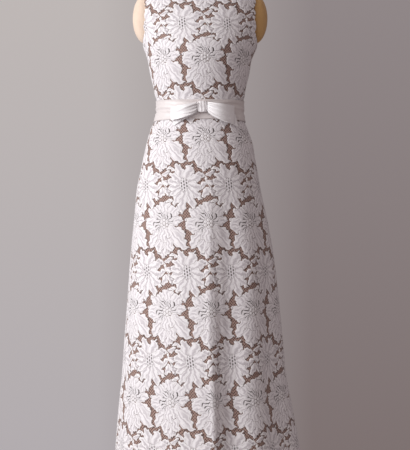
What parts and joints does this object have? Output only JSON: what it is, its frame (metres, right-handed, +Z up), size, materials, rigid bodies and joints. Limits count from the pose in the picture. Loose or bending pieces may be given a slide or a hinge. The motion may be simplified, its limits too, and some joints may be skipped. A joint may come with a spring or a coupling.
{
  "type": "wedding dress on limbless dress form",
  "caption": "Sleeveless floor-length lace wedding dress with a ribbon sash and flat bow, on a limbless dress form with a stand.",
  "frame": {"origin": "centre of the stand's underside, on the floor under the pole", "axes": "+Z up, the dress faces -Y, +X is to the right of a viewer in front of it"},
  "size_m": [0.536, 0.5402, 1.5223],
  "materials": {
    "lace": "white floral lace over a fine net",
    "lining": "matt taupe cloth",
    "ribbon": "white satin",
    "tape": "woven tape",
    "zip_metal": "plated",
    "form_linen": "cream linen over padding",
    "stand_paint": "satin ivory enamel"
  },
  "bodies": {
    "dress_and_form": {"bodice_front": "lace", "bodice_back_left": "lace", "bodice_back_right": "lace", "skirt_front": "lace", "skirt_back_left": "lace", "skirt_back_right": "lace", "bodice_front_lining": "lining", "bodice_back_left_lining": "lining", "bodice_back_right_lining": "lining", "skirt_front_lining": "lining", "skirt_back_left_lining": "lining", "skirt_back_right_lining": "lining", "sash_band": "ribbon", "bow_knot": "ribbon", "bow_loop_left": "ribbon", "bow_loop_right": "ribbon", "bow_tail_left": "ribbon", "bow_tail_right": "ribbon", "zip_tape_left": "tape", "zip_tape_right": "tape", "zip_slider": "zip_metal", "form_torso": "form_linen", "form_arm_cap_left": "form_linen", "form_arm_cap_right": "form_linen", "form_neck_cap": "form_linen", "stand_collar": "stand_paint", "stand_pole": "stand_paint", "stand_base": "stand_paint"},
    "zip_pull_tab": {"zip_pull": "zip_metal"}
  },
  "joints": [
    {"name": "zip_pull_hinge", "type": "hinge", "parent": "dress_and_form", "child": "zip_pull_tab", "pos_m": [0, 0.08803, 1.42588], "axis": [1, 0, 0], "range_deg": [0, 150]}
  ]
}
